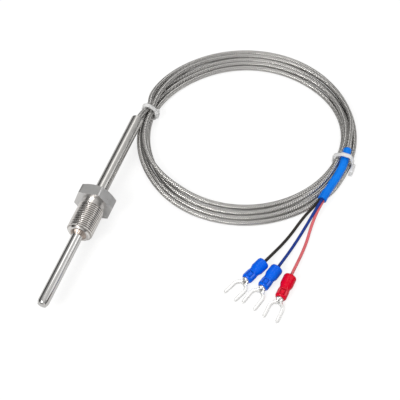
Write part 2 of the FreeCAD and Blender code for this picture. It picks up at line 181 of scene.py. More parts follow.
def braided_wire(name, ribbon_shade, low, high, rough_low, rough_high):
    """Bundles of fine wire, painted darker as shade where a bundle passes under the others and towards its edges. U
    is how far a bundle lies over the others and V is across it.
    """
    made = Nodes(name)
    made.set(Metallic=0.9)
    over, beside, _ = made.split(made.place("UV"))
    off_middle = made.math("ABSOLUTE", made.math("SUBTRACT", made.math("MULTIPLY", beside, 2.0), 1.0))
    crown = made.math("SUBTRACT", 1.0, made.math("POWER", off_middle, 2.0))
    wires = made.math("ABSOLUTE", made.math("SINE", made.math("MULTIPLY", beside, 5 * math.pi)))
    fleck = made.noise(made.place(), 1900.0, 3.0)
    # Painted shade: the colour falls to the first, dark colour where a ribbon passes under the others and towards
    # its edges.
    lit = made.math("MULTIPLY", made.spread(over, 0.0, 1.0, -0.1, 0.5), made.spread(crown, 0.0, 1.0, 0.0, 0.50))
    metal = made.ramp(made.math("ADD", made.math("MULTIPLY", fleck, 0.7), made.math("MULTIPLY", wires, 0.3)),
                      (0.3, low), (0.75, high))
    made.drive("Base Color", made.mixed(lit, (*ribbon_shade, 1), metal))
    made.drive("Roughness", made.spread(fleck, rough_low, rough_high, 0.3, 0.7))
    made.bump(made.math("ADD", crown, made.math("MULTIPLY", wires, 0.15)), 0.6, 0.00008)
    return made.material


def moulded(name, dark, light, rough, scatter=0.0, through=0.0, grain=900.0, bump=0.15, shine=0.5, painted_crimp_light=False):
    """Plastic with a faint uneven colour and a grained skin. With painted crimp light, the plastic has painted shade
    where U is high, at the walls of a crimp mark, and a paler painted highlight where V is high, along its rim."""
    made = Nodes(name)
    where = made.place()
    cloud = made.noise(where, grain * 0.25, 4.0)
    colour = made.ramp(cloud, (0.3, dark), (0.7, light))
    if painted_crimp_light:
        wall, rim, _ = made.split(made.place("UV"))
        # Painted shade at the crimp walls and a painted highlight along the rim.
        wall_shade = (*(0.3 * value for value in dark), 1)
        pale = (*(min(1.0, value + 0.3) for value in light), 1)
        colour = made.mixed(made.math("MULTIPLY", wall, 0.8), colour, wall_shade)
        colour = made.mixed(made.math("MULTIPLY", rim, 0.3), colour, pale)
    made.drive("Base Color", colour)
    skin = made.noise(where, grain, 3.0, 0.6)
    made.drive("Roughness", made.spread(skin, rough - 0.06, rough + 0.08, 0.3, 0.7))
    made.set(IOR=1.5, Transmission_Weight=through, Specular_IOR_Level=shine)
    if scatter:
        made.set(Subsurface_Weight=scatter, Subsurface_Radius=(0.8 * MM,) * 3, Subsurface_Scale=1.0)
    made.bump(skin, bump, 0.00005)
    return made.material


def woven(name, dark, light, rough, strength):
    """A fine braided jacket. U runs along the wire in millimetres and V once around it."""
    made = Nodes(name)
    along, around, _ = made.split(made.place("UV"))
    turns = made.math("MULTIPLY", around, JACKET_SIDES)
    rise = made.math("MULTIPLY", along, 1.0 / JACKET_PITCH)
    left = made.math("SINE", made.math("MULTIPLY", made.math("ADD", rise, turns), math.tau))
    right = made.math("SINE", made.math("MULTIPLY", made.math("SUBTRACT", rise, turns), math.tau))
    cross = made.math("MAXIMUM", left, right)
    fleck = made.noise(made.place(), 2500.0, 2.0)
    tone = made.math("ADD", made.math("MULTIPLY", cross, 0.35), made.math("MULTIPLY", fleck, 0.6))
    made.drive("Base Color", made.ramp(tone, (0.15, dark), (0.65, light)))
    made.drive("Roughness", made.spread(fleck, rough - 0.08, rough + 0.08, 0.3, 0.7))
    made.set(Specular_IOR_Level=0.25)
    made.bump(cross, strength, 0.00008)
    return made.material


POLISHED = steel("polished_steel", (0.53, 0.524, 0.516), (0.64, 0.633, 0.624), 0.05, 0.11, (400, 9000, 400), 0.05)
SATIN = steel("satin_tube", (0.46, 0.45, 0.436), (0.56, 0.55, 0.534), 0.17, 0.27, (500, 14000, 500), 0.10)
# The first colour is painted shade for the thread roots.
THREAD_STEEL = threaded_steel("thread_steel", (0.36, 0.338, 0.318), (0.68, 0.66, 0.645), (0.84, 0.82, 0.80),
                              0.14, 0.24, (600, 12000, 600))
HEX_STEEL = steel("hex_steel", (0.58, 0.576, 0.57), (0.70, 0.695, 0.69), 0.25, 0.37, (5200, 500, 5200), 0.12)
WELD_STEEL = steel("weld_steel", (0.33, 0.275, 0.24), (0.50, 0.43, 0.385), 0.28, 0.42, (2500, 2500, 2500), 0.30)
# The first colour is painted shade where ribbons pass under and between each other.
BRAID_STEEL = braided_wire("braid_wire", (0.07, 0.067, 0.064), (0.76, 0.745, 0.725), (1.0, 0.985, 0.965),
                           0.20, 0.32)
TINNED = steel("tinned_copper", (0.74, 0.74, 0.735), (0.88, 0.88, 0.875), 0.22, 0.36, (1800, 1800, 1800), 0.10)
# Near black, so the core inside the braid shows as painted shade in the braid's gaps.
UNDER_BRAID = moulded("under_braid", (0.03, 0.03, 0.028), (0.07, 0.07, 0.065), 0.7)
NYLON = moulded("milky_nylon", (0.86, 0.86, 0.86), (0.94, 0.94, 0.94), 0.30, scatter=0.4, through=0.22, grain=500.0)
SHRINK = moulded("shrink_blue", (0.0, 0.17, 0.76), (0.001, 0.23, 0.90), 0.28, grain=420.0, bump=0.05, shine=0.12)
# Both vinyls carry painted shade and a painted highlight at their crimp marks.
VINYL_BLUE = moulded("vinyl_blue", (0.0, 0.11, 0.78), (0.001, 0.145, 0.88), 0.17, grain=300.0, bump=0.02,
                     shine=0.14, painted_crimp_light=True)
VINYL_RED = moulded("vinyl_red", (0.66, 0.0, 0.016), (0.80, 0.001, 0.03), 0.17, grain=300.0, bump=0.02,
                    shine=0.14, painted_crimp_light=True)
LEAD_BLACK = woven("lead_black", (0.004, 0.004, 0.004), (0.045, 0.038, 0.032), 0.6, 0.6)
LEAD_BLUE = woven("lead_blue", (0.002, 0.012, 0.10), (0.006, 0.05, 0.38), 0.5, 0.4)
LEAD_RED = woven("lead_red", (0.50, 0.05, 0.07), (0.88, 0.20, 0.22), 0.5, 0.4)
CERAMIC = moulded("ceramic", (0.72, 0.70, 0.64), (0.84, 0.82, 0.77), 0.6)
SEAL = moulded("seal_resin", (0.03, 0.03, 0.03), (0.07, 0.07, 0.07), 0.45)


# Mesh helpers

def mesh_object(name, points, faces, material, uv=None):
    """A piece from points in millimetres, with one material."""
    mesh = bpy.data.meshes.new(name)
    mesh.from_pydata([in_metres(point) for point in points], [], faces)
    mesh.materials.append(material)
    if uv is not None:
        layer = mesh.uv_layers.new(name="UVMap")
        loops = np.zeros(len(mesh.loops), dtype=int)
        mesh.loops.foreach_get("vertex_index", loops)
        layer.data.foreach_set("uv", np.asarray(uv, float)[loops].ravel())
    mesh.polygons.foreach_set("use_smooth", [True] * len(mesh.polygons))
    mesh.update()
    piece = bpy.data.objects.new(name, mesh)
    bpy.context.scene.collection.objects.link(piece)
    return piece


def grid_faces(rows, columns, wrap=True, start=0):
    """Quads between rows of points. wrap joins the last column to the first."""
    faces = []
    for row in range(rows - 1):
        for column in range(columns if wrap else columns - 1):
            after = (column + 1) % columns
            a = start + row * columns + column
            b = start + row * columns + after
            faces.append((a, b, b + columns, a + columns))
    return faces


@contextmanager
def edited(piece):
    """A piece's mesh as a bmesh, which is written back at the end."""
    made = bmesh.new()
    made.from_mesh(piece.data)
    yield made
    made.to_mesh(piece.data)
    made.free()


def sharp_edges(piece, angle):
    """Edges over an angle stay sharp under smooth shading."""
    with edited(piece) as made:
        for edge in made.edges:
            if len(edge.link_faces) == 2 and edge.calc_face_angle(0) > math.radians(angle):
                edge.smooth = False


def merge_points(piece):
    with edited(piece) as made:
        bmesh.ops.remove_doubles(made, verts=made.verts, dist=0.01 * MM)
        bmesh.ops.recalc_face_normals(made, faces=made.faces)


def apply_modifiers(piece):
    made = bpy.data.meshes.new_from_object(piece.evaluated_get(bpy.context.evaluated_depsgraph_get()))
    piece.modifiers.clear()
    piece.data = made


def in_metres(point):
    return tuple(float(value) * MM for value in point)


def run_along(path):
    """Distance from a line's start at each of its points."""
    return np.concatenate([[0], np.cumsum(np.linalg.norm(np.diff(path, axis=0), axis=1))])


def points_at(path, at):
    """Points at these distances along a line of close points."""
    run = run_along(path)
    return np.stack([np.interp(at, run, values) for values in path.T], axis=1)


def resampled(path, step):
    """Points a step apart along a line of close points, and their distance along it."""
    length = run_along(path)[-1]
    at = np.linspace(0, length, max(int(round(length / step)), 2) + 1)
    return points_at(path, at), at


def circle_angles(sides):
    """Evenly spaced angles around a circle."""
    return np.arange(sides) * math.tau / sides


def frames_along(path):
    """Two directions across each point of a path, turned as little as possible."""
    ahead = np.gradient(path, axis=0)
    ahead /= np.linalg.norm(ahead, axis=1)[:, None]
    side = np.cross(ahead[0], [0.0, 0.0, 1.0])
    side /= np.linalg.norm(side)
    sides = []
    for direction in ahead:
        side = side - direction * side.dot(direction)
        side /= np.linalg.norm(side)
        sides.append(side)
    sides = np.array(sides)
    return sides, np.cross(ahead, sides)


def nurbs_line(name, points, resolution):
    """Points in millimetres on the NURBS spline with these control points."""
    data = bpy.data.curves.new(name, "CURVE")
    data.dimensions = "3D"
    data.resolution_u = resolution
    spline = data.splines.new("NURBS")
    spline.points.add(len(points) - 1)
    for control, point in zip(spline.points, points):
        control.co = (*in_metres(point), 1)
    spline.order_u = 3
    spline.use_endpoint_u = True
    line = bpy.data.objects.new(name, data)
    bpy.context.scene.collection.objects.link(line)
    bpy.context.view_layer.update()
    found = bpy.data.meshes.new_from_object(line)
    path = np.array([vertex.co[:] for vertex in found.vertices]) / MM
    bpy.data.meshes.remove(found)
    bpy.data.objects.remove(line)
    bpy.data.curves.remove(data)
    return path


def tube_points(path, sides, reach):
    """Rings of points around a path. reach is one radius, or one for each point of each ring."""
    across, upward = frames_along(path)
    turns = circle_angles(sides)
    ring = np.cos(turns)[None, :, None] * across[:, None] + np.sin(turns)[None, :, None] * upward[:, None]
    return path[:, None] + ring * np.broadcast_to(reach, (len(path), sides))[:, :, None]


def tube_piece(name, path, radius, sides, material):
    """A closed tube along a path, with U along it in millimetres and V around it."""
    rings = tube_points(path, sides, radius)
    uv = np.stack([np.repeat(run_along(path), sides), np.tile(np.arange(sides) / sides, len(path))], axis=1)
    last = (len(path) - 1) * sides
    faces = grid_faces(len(path), sides)
    faces += [tuple(reversed(range(sides))), tuple(range(last, last + sides))]
    return mesh_object(name, rings.reshape(-1, 3), faces, material, uv)


# Cable. It leaves the tube's end, makes four and a half turns and ends in the sleeve.

TUBE_END = 55.25
COIL_CENTRE = np.array([51.7, 70.15, 0.0])
COIL_TURN = 1.07
CABLE = 2.7
STRAND = 2.74
LOWEST = 1.36
STEP = 10
CABLE_START = [(0, -3.7, 0), (0, 3.2, 0), (1.8, 13.0, -3.1)]
SLEEVE_POINTS = [(2.7, 50.7, 5.6), (352.5, 51.2, 5.6), (338.5, 52.1, 5.0), (324.8, 55.2, 4.6)]
LEADS_COVERED = 7
SLEEVE_RADIUS = 2.2
TUBE_RADIUS = 3.0
# Angles at which the turns pass beside the tube.
TUBE_STATIONS = (194, 204, 214)
# Room inside each tie, as limits of radius and height at the tie's angle.
TIE_ROOM = {184: ((48.25, 51.15), (2.4, 7.0)), 354: ((47.2, 53.1), (2.4, math.inf))}
# Where the sleeve lies beside the turns, as radius and height.
SLEEVE_PLACES = {354: (51.2, 5.6), 344: (52.1, 5.0), 334: (53.0, 4.8)}

# Where each turn lies: angle around the coil, radius and height. The first list starts
# under the left tie and each list ends where the next one starts.
TURNS = [
    [(184, 50.6, 6.9), (174, 52.0, 5.6), (164, 53.5, 4.6), (143, 55.3, 2.4), (120, 57.9, 1.37), (97, 59.3, 1.37),
     (70, 58.2, 1.37), (47, 56.0, 1.37), (22, 53.9, 1.4), (9, 53.4, 1.7),
     (-6, 53.0, 2.4), (-29, 52.9, 1.4), (-50, 53.5, 1.37), (-69, 54.9, 1.37), (-90, 55.5, 1.37), (-108, 56.4, 1.37),
     (-124, 55.6, 2.8), (-138, 54.4, 3.3), (-148, 53.9, 3.4), (-160, 52.7, 3.9), (-170, 52.1, 4.6)],
    [(184, 51.1, 4.4), (164, 52.3, 1.9), (143, 50.6, 1.37), (120, 51.6, 1.37), (97, 53.8, 1.37),
     (70, 53.2, 1.37), (47, 52.3, 1.37), (22, 51.6, 2.9), (9, 51.0, 2.6),
     (-6, 49.9, 2.4), (-29, 50.2, 1.37), (-50, 50.8, 1.37), (-69, 52.0, 1.37), (-90, 52.8, 1.37), (-108, 53.5, 1.37),
     (-124, 53.2, 1.37), (-138, 52.5, 1.37), (-148, 52.2, 1.37), (-160, 51.7, 1.4), (-170, 51.5, 1.7)],
    [(184, 51.1, 2.4), (164, 49.5, 1.5), (143, 47.8, 1.37), (120, 48.8, 1.37), (97, 51.0, 1.37),
     (70, 50.5, 1.37), (47, 50.6, 3.5), (22, 49.9, 4.7), (9, 49.2, 4.8),
     (-6, 47.9, 4.9), (-29, 47.9, 2.6), (-50, 48.0, 1.37), (-69, 49.1, 1.37), (-90, 50.0, 1.37), (-108, 50.7, 1.37),
     (-124, 50.2, 1.37), (-138, 49.6, 1.37), (-148, 49.4, 1.37), (-160, 48.9, 1.4), (-170, 48.7, 1.7)],
    [(184, 48.3, 2.4), (164, 46.8, 1.5), (143, 45.1, 1.37), (120, 46.0, 1.37), (97, 47.1, 1.37),
     (70, 47.8, 1.37), (47, 49.1, 1.37), (22, 49.3, 1.5), (9, 48.6, 1.9),
     (-6, 47.1, 2.4), (-29, 45.7, 1.37), (-50, 45.1, 1.37), (-69, 45.8, 1.37), (-90, 46.5, 1.37), (-108, 47.8, 1.5),
     (-117, 48.9, 3.4), (-124, 50.0, 4.0), (-138, 51.9, 4.6), (-148, 51.9, 5.4), (-160, 51.0, 6.0),
     (-170, 50.2, 6.2)],
    [(184, 48.5, 5.1), (174, 49.4, 5.0), (164, 50.8, 4.3), (143, 52.5, 3.2), (120, 54.8, 1.7), (97, 56.55, 1.37),
     (70, 55.8, 1.6), (47, 53.9, 3.3), (22, 53.0, 4.8)]]


def on_coil(angle, radius, height):
    turn = math.radians(angle + COIL_TURN)
    return COIL_CENTRE + np.array([radius * math.cos(turn), radius * math.sin(turn), height])


def smooth_between(keys, at):
    """A smooth line through keys (position, value...), read at positions."""
    keys = np.array(keys, float)
    place, value = keys[:, 0], keys[:, 1:]
    slope = np.gradient(value, place, axis=0)
    part = np.clip(np.searchsorted(place, at, side="right") - 1, 0, len(place) - 2)
    width = (place[part + 1] - place[part])[:, None]
    t = ((at - place[part])[:, None]) / width
    blend = [2 * t ** 3 - 3 * t ** 2 + 1, t ** 3 - 2 * t ** 2 + t, 3 * t ** 2 - 2 * t ** 3, t ** 3 - t ** 2]
    return (blend[0] * value[part] + blend[1] * width * slope[part] + blend[2] * value[part + 1]
            + blend[3] * width * slope[part + 1])


def push_apart(place, group):
    """Move the turns that meet at a station a strand's width apart."""
    for first, one in enumerate(group):
        for other in group[first + 1:]:
            gap = place[other] - place[one]
            apart = math.hypot(*gap)
            if apart < STRAND:
                push = gap / max(apart, 0.01) * (STRAND - apart) / 2
                place[one] -= push
                place[other] += push


def push_off_sleeve(place, group, centre):
    clear = SLEEVE_RADIUS + CABLE / 2
    for one in group:
        gap = place[one] - centre
        apart = math.hypot(*gap)
        if apart < clear:
            place[one] += gap / max(apart, 0.01) * (clear - apart)


def push_off_tube(place, group, angle):
    clear = TUBE_RADIUS + CABLE / 2 + 0.1
    for one in group:
        beside = COIL_CENTRE[0] + place[one, 0] * math.cos(math.radians(angle + COIL_TURN))
        gap = np.array([beside, place[one, 1] - AXIS_HEIGHT])
        apart = math.hypot(*gap)
        if apart < clear:
            moved = gap / apart * (clear - apart)
            place[one] += (-moved[0], moved[1])


def settled_turns(rounds=260, easing_rounds=220):
    """Radius and height of the turns at stations around the coil, after they settle.

    Turns that meet at a station are pushed a strand's width apart, and stay on the table, inside
    the ties and clear of the tube and the sleeve. In the last rounds they are no longer eased."""
    keys = []
    for number, turn in enumerate(TURNS):
        keys += [(360 * number + 184 - angle, radius, height) for angle, radius, height in turn]
    travelled = np.arange(10, keys[-1][0] + 1, STEP)
    wanted = smooth_between(keys, travelled)
    angles = 184 - travelled
    place = wanted.copy()
    stations = np.round(angles).astype(int) % 360
    groups = {angle: np.flatnonzero(stations == angle) for angle in sorted(set(stations))}
    for number in range(rounds):
        if number < easing_rounds:
            middle = (place[:-2] + place[2:]) / 2
            place[1:-1] += 0.25 * (middle - place[1:-1])
            place += 0.06 * (wanted - place)
        for angle, group in groups.items():
            for _ in range(3):
                push_apart(place, group)
                if angle in SLEEVE_PLACES:
                    push_off_sleeve(place, group, SLEEVE_PLACES[angle])
                if angle in TUBE_STATIONS:
                    push_off_tube(place, group, angle)
                place[group, 1] = np.maximum(place[group, 1], LOWEST)
                for column, limits in enumerate(TIE_ROOM.get(angle, ())):
                    place[group, column] = np.clip(place[group, column], *limits)
    return angles, place


angles, place = settled_turns()
inward = math.cos(math.radians(STEP / 2))
tube_mouth = np.array([0, TUBE_END, AXIS_HEIGHT])
cable_points = [tube_mouth + np.array(point) for point in CABLE_START]
cable_points += [on_coil(angle, radius / inward, height) for angle, (radius, height) in zip(angles, place)]
sleeve_mouth = on_coil(*SLEEVE_POINTS[3])
before_mouth = on_coil(*SLEEVE_POINTS[2])
mouth_direction = (sleeve_mouth - before_mouth) / np.linalg.norm(sleeve_mouth - before_mouth)
cable_points += [on_coil(8, 51.0, 5.6), on_coil(*SLEEVE_POINTS[1]), on_coil(345, 51.7, 5.3), before_mouth,
                 sleeve_mouth - mouth_direction * LEADS_COVERED]
cable_line = nurbs_line("cable_line", cable_points, 8)


# Braid: flat ribbons of fine wire wound both ways, each over two and under two.

CARRIERS = 8
LAY = 8.4
BRAID_MIDDLE = 1.235
BRAID_RISE = 0.085
RIBBON = 0.242
RIBBON_STEPS = 26
CORE_RADIUS = 1.13


def braid_ribbons(path):
    """Points, faces and UV of the ribbons that wrap a path."""
    steps, at = resampled(path, LAY / RIBBON_STEPS)
    across, upward = frames_along(steps)
    forward = np.cross(across, upward)
    lean = math.atan2(math.tau * BRAID_MIDDLE, LAY)
    count = len(steps)
    points, uv, faces = [], [], []
    for hand in (1, -1):
        for carrier in range(CARRIERS):
            turn = math.tau * hand * (carrier / CARRIERS + at / LAY)
            crossing = 2 * CARRIERS * at / LAY
            order = 2 * carrier + hand * crossing
            rise = hand * np.cos(math.tau * (order - 0.5) / 4)
            radius = BRAID_MIDDLE + BRAID_RISE * rise
            rows = []
            for edge in (-1, 1):
                along = -hand * edge * RIBBON * math.sin(lean)
                angle = turn + edge * RIBBON * math.cos(lean) / BRAID_MIDDLE
                out = np.cos(angle)[:, None] * across + np.sin(angle)[:, None] * upward
                rows.append(steps + out * radius[:, None] + forward * along)
            strip = grid_faces(count, 2, wrap=False, start=len(points))
            faces.extend(strip if hand > 0 else [tuple(reversed(face)) for face in strip])
            points.extend(np.stack(rows, axis=1).reshape(-1, 3))
            uv.extend(np.stack([np.repeat(rise, 2), np.tile([0.0, 1.0], count)], axis=1))
    return points, faces, uv


braid_points, braid_faces, braid_uv = braid_ribbons(cable_line)
cable = mesh_object("braided_cable", braid_points, braid_faces, BRAID_STEEL, braid_uv)
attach(cable, "root")
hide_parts("cable_coil", "cable_free_run", "cable_covered_end")
# A real core, whose near-black colour is painted shade inside the braid.
core = tube_piece("cable_core", resampled(cable_line, 2.0)[0], CORE_RADIUS, 12, UNDER_BRAID)
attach(core, "root")


# Heat-shrink sleeve, on the cable's own line and past its end over the leads. Its first
# steps are left off, and both ends are turned in to a smaller radius.

SLEEVE_SIDES = 28
SLEEVE_STEP = 0.4
LEFT_OFF = 3
TAIL_INSIDE = 1.40
MOUTH_INSIDE = 1.55

sleeve_start = on_coil(*SLEEVE_POINTS[0])
first = int(np.argmin(np.linalg.norm(cable_line - sleeve_start, axis=1)))
sleeve_line = np.concatenate([cable_line[first:], [cable_line[-1] + mouth_direction * LEADS_COVERED]])
sleeve_path, sleeve_run = (value[LEFT_OFF:] for value in resampled(sleeve_line, SLEEVE_STEP))
sleeve_run = sleeve_run - sleeve_run[0]
SLEEVE_LENGTH = sleeve_run[-1]


def sleeve_shape():
    """Radius along the sleeve and its unevenness around it."""
    part = sleeve_run / SLEEVE_LENGTH
    radius = np.full(len(part), 1.95)
    radius += 0.16 * np.clip((part - 0.80) / 0.1, 0, 1)
    radius += 0.10 * np.exp(-(part / 0.02) ** 2)
    turns = circle_angles(SLEEVE_SIDES)
    uneven = 1 + 0.035 * np.sin(2 * turns[None] + 9 * part[:, None]) * np.sin(5.3 * part[:, None] + 0.5)
    uneven += 0.028 * np.sin(3 * turns[None] - 26 * part[:, None] + 1.0)
    flat = np.clip((part - 0.82) / 0.15, 0, 1)[:, None]
    uneven += flat * 0.05 * np.cos(2 * turns[None] + 0.6)
    return radius, uneven


def sleeve_piece():
    radius, uneven = sleeve_shape()
    tail = tube_points(sleeve_path[[3, 0]], SLEEVE_SIDES, TAIL_INSIDE * uneven[[3, 0]])
    outer = tube_points(sleeve_path, SLEEVE_SIDES, radius[:, None] * uneven)
    mouth = tube_points(sleeve_path[[-1, -4]], SLEEVE_SIDES, MOUTH_INSIDE * uneven[[-1, -4]])
    rings = np.concatenate([tail, outer, mouth])
    faces = grid_faces(len(rings), SLEEVE_SIDES)
    return mesh_object("heat_shrink", rings.reshape(-1, 3), faces, SHRINK)


sleeve = sleeve_piece()
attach(sleeve, "root")
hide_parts("shrink_sleeve")


# Leads and fork terminals

TERMINALS = {"black": ((81.0, -1.75), 244.3), "blue": ((87.4, -2.75), 251.6), "red": ((94.0, -5.1), 262.1)}
GRIP_LENGTH = 11.5
GRIP_MOUTH = 2.9
GRIP_NOSE = 2.55
GRIP_WAIST = 2.35
GRIP_INSIDE = 2.3
GRIP_SIDES = 64
TOP = math.pi / 2
MOUTH_END = 4.5
LEAD_END = 5.5
LEAD = 1.4
LEAD_SPREAD = 0.85
FORK_TOP = -0.9
FORK_BOTTOM = -1.7
FORK_STEPS = 30
BARREL_SIDES = 28
LEAD_PLACES = {"black": 200, "blue": 80, "red": 320}
LEAD_POINTS = {
    "black": [(91.7, 28.95, 2.2), (87.6, 15.2, 0.75)],
    "blue": [(94.6, 27.0, 2.6), (91.5, 13.95, 0.75)],
    "red": [(96.1, 26.5, 2.2), (96.2, 13.75, 0.75)]}


def terminal_matrix(colour):
    """Place of a terminal: its own X runs from the sleeve's mouth to the fork's tips."""
    (x, y), heading = TERMINALS[colour]
    tilt = math.atan((GRIP_MOUTH - GRIP_NOSE) / (GRIP_LENGTH - MOUTH_END))
    height = GRIP_MOUTH * math.cos(tilt) + MOUTH_END * math.sin(tilt)
    place = Matrix.Translation((x, y, height))
    return place @ Matrix.Rotation(math.radians(heading), 4, "Z") @ Matrix.Rotation(tilt, 4, "Y")


def at_terminal(colour, points):
    matrix = np.array(terminal_matrix(colour))
    points = np.asarray(points, float)
    return points @ matrix[:3, :3].T + matrix[:3, 3]


def lead_points(colour):
    sideways = np.cross([0, 0, 1], mouth_direction)
    sideways /= np.linalg.norm(sideways)
    upward = np.cross(mouth_direction, sideways)
    turn = math.radians(LEAD_PLACES[colour])
    aside = (sideways * math.cos(turn) + upward * math.sin(turn)) * LEAD_SPREAD
    points = [sleeve_mouth - mouth_direction * LEADS_COVERED + aside, sleeve_mouth + mouth_direction * 2.5 + aside]
    points += [np.array(point) for point in LEAD_POINTS[colour]]
    return points + list(at_terminal(colour, [(-3, 0, 0), (LEAD_END, 0, 0)]))


def lathe_rings(profile, sides, shape=None):
    """Points turned about X from (x, radius), with an optional change of each radius."""
    turns = circle_angles(sides)
    rings = []
    for x, radius in profile:
        reach = np.full(sides, float(radius))
        if shape is not None:
            reach = shape(x, turns, reach)
        rings.append(np.stack([np.full(sides, float(x)), reach * np.cos(turns), reach * np.sin(turns)], axis=1))
    return np.concatenate(rings)


def eased(value, low, high):
    part = np.clip((value - low) / (high - low), 0, 1)
    return part * part * (3 - 2 * part)


def grip_radius(x):
    """Outer radius of a terminal's vinyl sleeve: wide mouth, waist, and nose."""
    radius = GRIP_MOUTH - (GRIP_MOUTH - GRIP_WAIST) * eased(x, 4.2, 6.4)
    radius += (GRIP_NOSE - GRIP_WAIST) * eased(x, 6.4, 8.2)
    radius -= 0.28 * (1 - eased(x, -0.3, 0.7)) + 0.45 * eased(x, 10.7, 11.7)
    return radius


def under_tool(x):
    """1 along the grip where the crimping tool closed on it, and 0 beside that."""
    return eased(x, 7.6, 8.0) * (1 - eased(x, 10.25, 10.65))


def away_from(middle, turns):
    """Angle between each turn and the middle one."""
    return np.angle(np.exp(1j * (turns - middle)))


def pressed(x, turns):
    """How far the crimping tool has pressed the top in, and how far its rim stands up beside it."""
    away = np.abs(away_from(TOP, turns))
    bed = 1 - eased(away, 0.40, 0.56)
    return under_tool(x) * bed, under_tool(x) * np.exp(-((away - 0.74) / 0.15) ** 2)


def crimped(x, turns, reach):
    """Crimp marks where the tool closed the barrel: a pressed pocket on top, a flat below."""
    if reach[0] <= GRIP_INSIDE:
        return reach
    waist = math.exp(-((x - 6.1) / 0.5) ** 2)
    bed, rib = pressed(x, turns)
    reach = reach - 0.85 * bed + 0.16 * rib
    reach = reach - 0.18 * under_tool(x) * np.exp(-(away_from(-TOP, turns) / 0.6) ** 2)
    return reach - 0.16 * waist * np.exp(-(away_from(TOP, turns) / 0.7) ** 2)


def grip_piece(colour, material):
    """Vinyl sleeve of a terminal. Its UV says where painted shade and a painted highlight go, at the walls and rim
    of its crimp mark.
    """
    outer = [(x, float(grip_radius(x))) for x in np.linspace(0.0, GRIP_LENGTH, 70)]
    inside = [(2.6, 2.0), (0.9, 2.15), (0.15, 2.25)]
    nose = [(GRIP_LENGTH + 0.05, 1.68), (GRIP_LENGTH - 0.8, 1.62)]
    profile = inside + outer + nose
    points = lathe_rings(profile, GRIP_SIDES, crimped)
    turns = circle_angles(GRIP_SIDES)
    marks = []
    for x, reach in profile:
        bed, rib = pressed(x, turns)
        # UV: painted shade at the pocket's walls, and a painted highlight on its rim.
        marks.append(np.stack([4 * bed * (1 - bed), rib], axis=1) * (reach > GRIP_INSIDE))
    piece = mesh_object("vinyl_grip_" + colour, at_terminal(colour, points), grid_faces(len(profile), GRIP_SIDES),
                        material, np.concatenate(marks))
    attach(piece, "root")
    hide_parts("terminal_grip_" + colour)
    return piece


def fork_outline():
    """Half outline of the fork on its own X and Y: the outer edge, and the slot from its tip.

    long and wide are the size of the rounded corner at the tip."""
    half = 3.7
    slot = 2.2
    centre = 16.0
    tip = 22.1
    long, wide = 0.9, 0.75
    outer = [(11.2, 1.65), (12.3, 1.6), (12.7, 1.72)]
    for turn in np.linspace(math.radians(152), math.radians(90), 12):
        outer.append((centre + half * math.cos(turn), half * math.sin(turn)))
    outer += [(18.0, half), (tip - long, half)]
    for part in np.linspace(0, 1, 5)[1:]:
        turn = part * math.pi / 2
        outer.append((tip - long + long * math.sin(turn), half - wide + wide * math.cos(turn)))
    inner = [(tip, slot + 0.55), (tip - 0.45, slot + 0.08), (centre + 1.5, slot)]
    for part in np.linspace(0, 1, 10):
        turn = part * math.pi / 2
        inner.append((centre - slot * math.sin(turn), slot * math.cos(turn)))
    return outer, inner


def fork_piece(colour):
    """Stamped fork with a rolled barrel, one piece of tinned copper."""
    steps = FORK_STEPS

    def spaced(corners):
        line = resampled(np.array(corners), 0.3)[0]
        return points_at(line, np.linspace(0, run_along(line)[-1], steps + 1))

    outer, inner = fork_outline()
    edge, root = spaced(outer), spaced([(11.2, 0.001), (13.5, 0.001)] + inner[::-1])
    points = []
    faces = []
    for side in (1, -1):
        for level in (FORK_BOTTOM, FORK_TOP):
            start = len(points)
            for a, b in zip(edge, root):
                for part in (0.0, 0.5, 1.0):
                    x, y = a + (b - a) * part
                    points.append((x, y * side, level))
            quads = grid_faces(steps + 1, 3, wrap=False, start=start)
            upward = (level == FORK_TOP) == (side > 0)
            faces += [tuple(reversed(face)) for face in quads] if upward else quads
        low = len(points) - 2 * (steps + 1) * 3
        high = len(points) - (steps + 1) * 3
        for column in (0, 2):
            for row in range(steps):
                a, b = low + row * 3 + column, low + (row + 1) * 3 + column
                c, d = high + (row + 1) * 3 + column, high + row * 3 + column
                faces.append((a, b, c, d) if (column == 0) == (side > 0) else (d, c, b, a))
        last = steps * 3
        for column in (0, 1):
            a, b = low + last + column, low + last + column + 1
            c, d = high + last + column + 1, high + last + column
            faces.append((a, b, c, d) if side > 0 else (d, c, b, a))
    start = len(points)
    barrel = [(5.8, 0.75), (5.8, 1.6), (12.0, 1.6), (12.1, 1.5), (12.25, 1.1), (12.2, 0.6), (12.3, 0.05)]
    points.extend(lathe_rings(barrel, BARREL_SIDES))
    faces += grid_faces(len(barrel), BARREL_SIDES, start=start)
    piece = mesh_object("fork_" + colour, at_terminal(colour, points), faces, TINNED)
    merge_points(piece)
    edge_round = piece.modifiers.new("edges", "BEVEL")
    edge_round.width = 0.14 * MM
    edge_round.segments = 2
    edge_round.limit_method = "ANGLE"
    edge_round.angle_limit = math.radians(40)
    apply_modifiers(piece)
    sharp_edges(piece, 50)
    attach(piece, "root")
    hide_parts("fork_terminal_" + colour)
    return piece


LEAD_LOOKS = {"black": (LEAD_BLACK, "lead_black", VINYL_BLUE, "vinyl_blue"),
              "blue": (LEAD_BLUE, "lead_blue", VINYL_BLUE, "vinyl_blue"),
              "red": (LEAD_RED, "lead_red", VINYL_RED, "vinyl_red")}
for colour, (jacket, slot, vinyl, vinyl_slot) in LEAD_LOOKS.items():
    grip = grip_piece(colour, vinyl)
    fork = fork_piece(colour)
    line = nurbs_line("lead_line", lead_points(colour), 24)
    path, run = resampled(line, 0.5)
    print("lead", colour, round(run[-1], 1))
    lead = tube_piece("wire_" + colour, path, LEAD / 2, 14, jacket)
    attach(lead, "root")
    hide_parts("lead_" + colour)


# Probe. Turned pieces lie along Y at the axis height.

